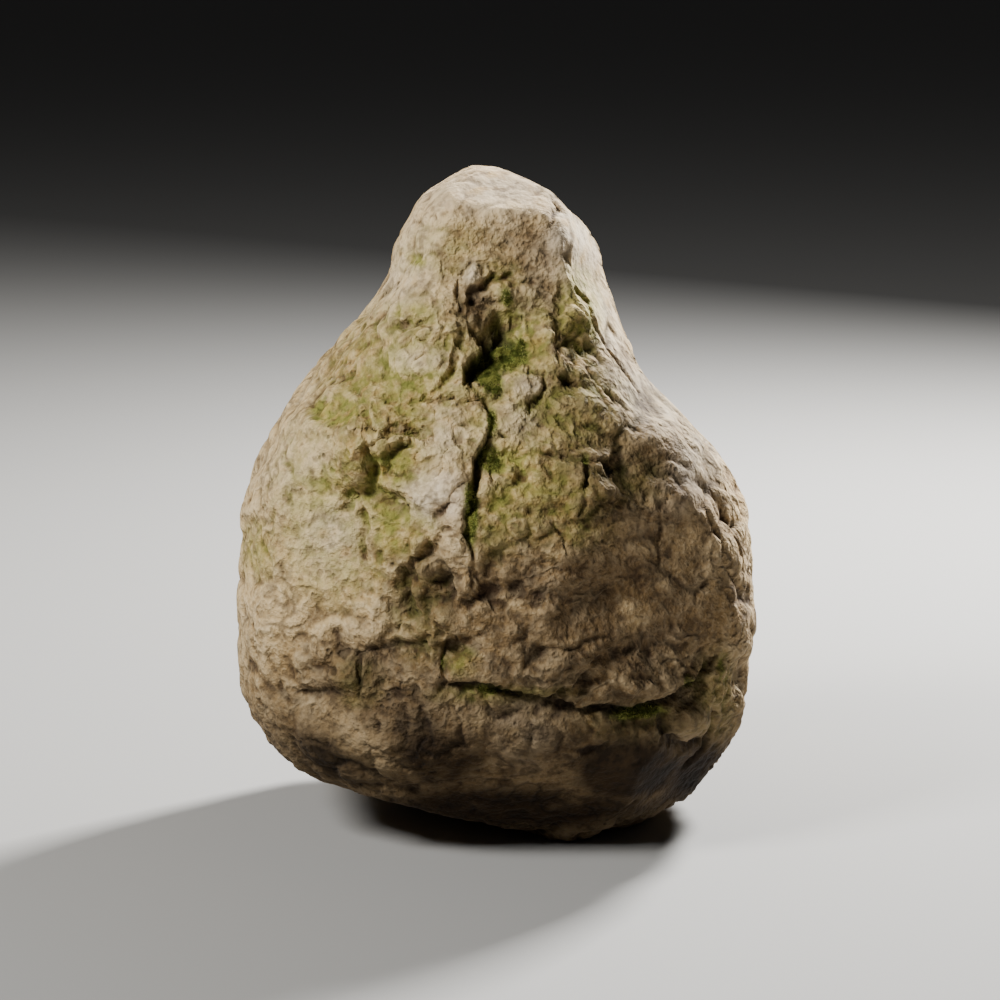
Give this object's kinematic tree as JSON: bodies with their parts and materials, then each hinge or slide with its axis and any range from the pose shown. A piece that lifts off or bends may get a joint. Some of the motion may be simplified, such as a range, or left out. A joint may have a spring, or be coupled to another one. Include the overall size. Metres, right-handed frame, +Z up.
{
  "type": "mossy rock",
  "caption": "Pear-shaped weathered limestone boulder with a cleft front, a seam above its foot and green moss in its cracks.",
  "frame": {"origin": "centre of the bounding box's footprint, on the ground the stone rests on", "axes": "+Z up along the stone's height, -Y towards the viewer of the picture, +X to the viewer's right"},
  "size_m": [0.3854, 0.33, 0.4823],
  "materials": {
    "limestone": "rough weathered"
  },
  "bodies": {
    "root": {"rock": "limestone"}
  },
  "joints": []
}
